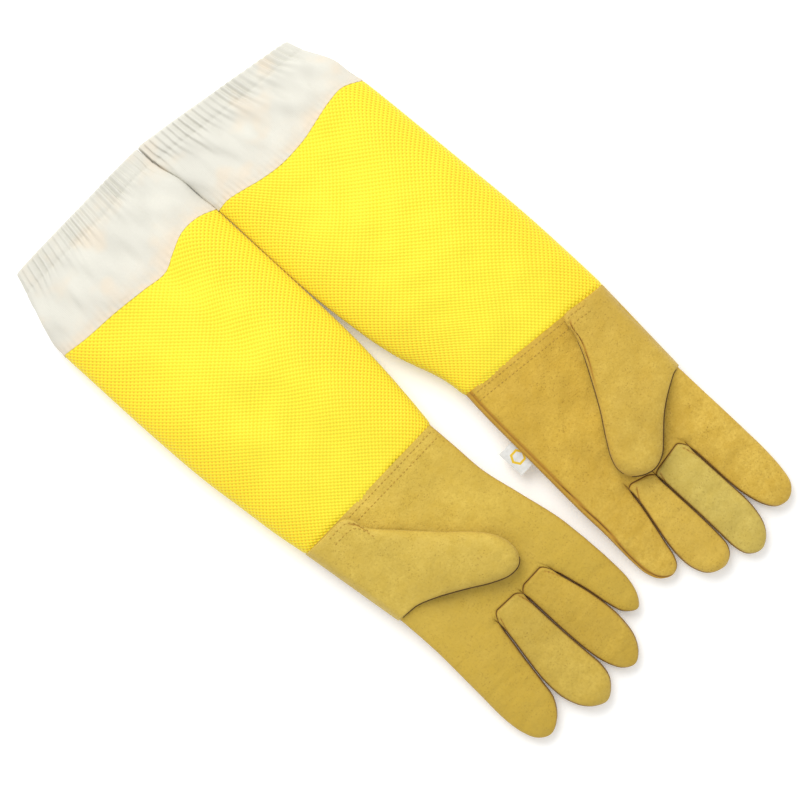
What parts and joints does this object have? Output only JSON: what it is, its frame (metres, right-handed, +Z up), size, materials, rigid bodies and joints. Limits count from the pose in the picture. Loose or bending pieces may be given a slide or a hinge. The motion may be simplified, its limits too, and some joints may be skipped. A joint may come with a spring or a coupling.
{
  "type": "beekeeping gloves",
  "caption": "Pair of long ventilated beekeeping gloves, palm up: goatskin hands with folded wing thumbs, yellow three-layer mesh sleeves and white cotton cuffs with gathered elastic hems.",
  "frame": {"origin": "centre of the bounding box at the surface that the pair lies on", "axes": "+X from the cuffs to the fingertips, +Y from the right-hand glove to the left-hand glove, +Z up"},
  "size_m": [0.5235, 0.3035, 0.0366],
  "materials": {
    "goatskin_palm": "mottled matt goatskin, mustard tan",
    "goatskin_thumb": "matt goatskin, slightly paler",
    "goatskin_back": "matt goatskin, slightly deeper",
    "goatskin_strip": "matt goatskin strips between the fingers",
    "mesh_outer": "bright yellow perforated knit",
    "mesh_spacer": "yellow open spacer knit",
    "mesh_lining": "yellow fine knit",
    "cotton": "white woven cotton",
    "elastic": "white woven elastic",
    "label": "white woven label with a plain yellow mark"
  },
  "bodies": {
    "left_sleeve": {"left_cotton_cuff": "cotton", "left_hem_elastic": "elastic", "left_mesh_outer": "mesh_outer", "left_mesh_spacer": "mesh_spacer", "left_mesh_lining": "mesh_lining"},
    "left_hand": {"left_palm_panel": "goatskin_palm", "left_back_panel": "goatskin_back", "left_side_label": "label"},
    "left_thumb": {"left_thumb_front": "goatskin_thumb", "left_thumb_back": "goatskin_thumb"},
    "left_index": {"left_index_front": "goatskin_palm", "left_index_back": "goatskin_back", "left_index_fourchette_little_side": "goatskin_strip"},
    "left_middle": {"left_middle_front": "goatskin_palm", "left_middle_back": "goatskin_back", "left_middle_fourchette_thumb_side": "goatskin_strip", "left_middle_fourchette_little_side": "goatskin_strip"},
    "left_ring": {"left_ring_front": "goatskin_palm", "left_ring_back": "goatskin_back", "left_ring_fourchette_thumb_side": "goatskin_strip", "left_ring_fourchette_little_side": "goatskin_strip"},
    "left_little": {"left_little_front": "goatskin_palm", "left_little_back": "goatskin_back", "left_little_fourchette_thumb_side": "goatskin_strip"},
    "right_sleeve": {"right_cotton_cuff": "cotton", "right_hem_elastic": "elastic", "right_mesh_outer": "mesh_outer", "right_mesh_spacer": "mesh_spacer", "right_mesh_lining": "mesh_lining"},
    "right_hand": {"right_palm_panel": "goatskin_palm", "right_back_panel": "goatskin_back"},
    "right_thumb": {"right_thumb_front": "goatskin_thumb", "right_thumb_back": "goatskin_thumb"},
    "right_index": {"right_index_front": "goatskin_palm", "right_index_back": "goatskin_back", "right_index_fourchette_little_side": "goatskin_strip"},
    "right_middle": {"right_middle_front": "goatskin_palm", "right_middle_back": "goatskin_back", "right_middle_fourchette_thumb_side": "goatskin_strip", "right_middle_fourchette_little_side": "goatskin_strip"},
    "right_ring": {"right_ring_front": "goatskin_palm", "right_ring_back": "goatskin_back", "right_ring_fourchette_thumb_side": "goatskin_strip", "right_ring_fourchette_little_side": "goatskin_strip"},
    "right_little": {"right_little_front": "goatskin_palm", "right_little_back": "goatskin_back", "right_little_fourchette_thumb_side": "goatskin_strip"}
  },
  "joints": [
    {"name": "right_lift", "type": "slide", "parent": "left_sleeve", "child": "right_sleeve", "axis": [0, 0, 1], "range_m": [0, 0.25]},
    {"name": "left_wrist_bend", "type": "hinge", "parent": "left_sleeve", "child": "left_hand", "pos_m": [0.04132, 0.08875, 0.0242], "axis": [-0.1417, -0.9899, 0], "range_deg": [0, 80]},
    {"name": "left_thumb_open", "type": "hinge", "parent": "left_hand", "child": "left_thumb", "pos_m": [0.08731, 0.14697, 0.0122], "axis": [-0.9989, 0.047, 0], "range_deg": [0, 120]},
    {"name": "left_index_curl", "type": "hinge", "parent": "left_hand", "child": "left_index", "pos_m": [0.16658, 0.12829, 0.0172], "axis": [0.0262, -0.9997, 0], "range_deg": [0, 85]},
    {"name": "left_middle_curl", "type": "hinge", "parent": "left_hand", "child": "left_middle", "pos_m": [0.16747, 0.09431, 0.0172], "axis": [0.0262, -0.9997, 0], "range_deg": [0, 85]},
    {"name": "left_ring_curl", "type": "hinge", "parent": "left_hand", "child": "left_ring", "pos_m": [0.16816, 0.06781, 0.0172], "axis": [0.0262, -0.9997, 0], "range_deg": [0, 85]},
    {"name": "left_little_curl", "type": "hinge", "parent": "left_hand", "child": "left_little", "pos_m": [0.1689, 0.03957, 0.0172], "axis": [0.0262, -0.9997, 0], "range_deg": [0, 85]},
    {"name": "right_wrist_bend", "type": "hinge", "parent": "right_sleeve", "child": "right_hand", "pos_m": [0.02774, -0.07075, 0.0242], "axis": [-0.0062, -1, 0], "range_deg": [0, 80]},
    {"name": "right_thumb_open", "type": "hinge", "parent": "right_hand", "child": "right_thumb", "pos_m": [0.07031, -0.12613, 0.0122], "axis": [0.9921, 0.1251, 0], "range_deg": [0, 120]},
    {"name": "right_index_curl", "type": "hinge", "parent": "right_hand", "child": "right_index", "pos_m": [0.15331, -0.09855, 0.0172], "axis": [-0.0262, -0.9997, 0], "range_deg": [0, 85]},
    {"name": "right_middle_curl", "type": "hinge", "parent": "right_hand", "child": "right_middle", "pos_m": [0.15426, -0.06206, 0.0172], "axis": [-0.0262, -0.9997, 0], "range_deg": [0, 85]},
    {"name": "right_ring_curl", "type": "hinge", "parent": "right_hand", "child": "right_ring", "pos_m": [0.15496, -0.03532, 0.0172], "axis": [-0.0262, -0.9997, 0], "range_deg": [0, 85]},
    {"name": "right_little_curl", "type": "hinge", "parent": "right_hand", "child": "right_little", "pos_m": [0.15576, -0.00508, 0.0172], "axis": [-0.0262, -0.9997, 0], "range_deg": [0, 85]}
  ]
}
